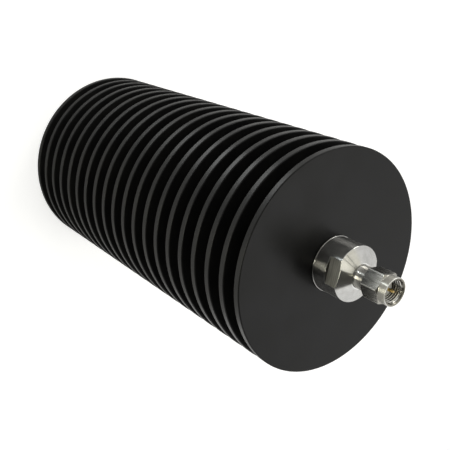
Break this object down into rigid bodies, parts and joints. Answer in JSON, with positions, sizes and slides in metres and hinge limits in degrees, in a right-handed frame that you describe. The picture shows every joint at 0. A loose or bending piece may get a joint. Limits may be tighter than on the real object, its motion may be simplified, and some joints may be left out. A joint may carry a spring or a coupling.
{
  "type": "coaxial dummy load",
  "caption": "Round finned heat sink with a coaxial plug at one end: a free-turning hex coupling nut, wrench flats and a gold pin over a resistor in the bore.",
  "frame": {"origin": "centre of the flat rear face that it stands on", "axes": "+Z along the common axis towards the plug; the connector body's wrench flats face +Y and -Y"},
  "size_m": [0.065, 0.065, 0.1456],
  "materials": {
    "anodised_aluminium": "black anodised, fine turned",
    "stainless_steel": "passivated, polished turned",
    "nut_steel": "passivated, satin milled",
    "gold_plate": "gold plated",
    "fluoropolymer": "satin",
    "amber_resin": "semi-gloss",
    "silicone_rubber": "matte",
    "black_rubber": "matte",
    "copper": "bright machined copper",
    "plated_copper": "nickel plated",
    "aluminium": "machined",
    "soft_metal_foil": "matte",
    "ceramic": "matte ceramic",
    "spring_steel": "oiled",
    "screw_steel": "bright"
  },
  "bodies": {
    "load": {"heat_sink": "anodised_aluminium", "connector_body": "stainless_steel", "outer_contact": "stainless_steel", "nut_retaining_ring": "spring_steel", "mating_gasket": "silicone_rubber", "front_insulator": "fluoropolymer", "centre_contact": "gold_plate", "support_bead": "amber_resin", "bead_clamp_sleeve": "gold_plate", "body_o_ring": "black_rubber", "contact_socket": "gold_plate", "line_pin": "gold_plate", "heat_spreader": "copper", "line_cover": "aluminium", "cover_screws": "screw_steel", "thermal_foil": "soft_metal_foil", "resistor_flange": "plated_copper", "resistor_chip": "ceramic", "resistor_lid": "ceramic", "input_ribbon": "gold_plate", "flange_washers": "screw_steel", "flange_screws": "screw_steel", "disc_spring": "spring_steel", "locating_pin": "spring_steel"},
    "coupling_nut": {"coupling_nut": "nut_steel"}
  },
  "joints": [
    {"name": "coupling_nut_spin", "type": "hinge", "parent": "load", "child": "coupling_nut", "pos_m": [0, 0, 0.1416], "axis": [0, 0, 1], "continuous": true}
  ]
}
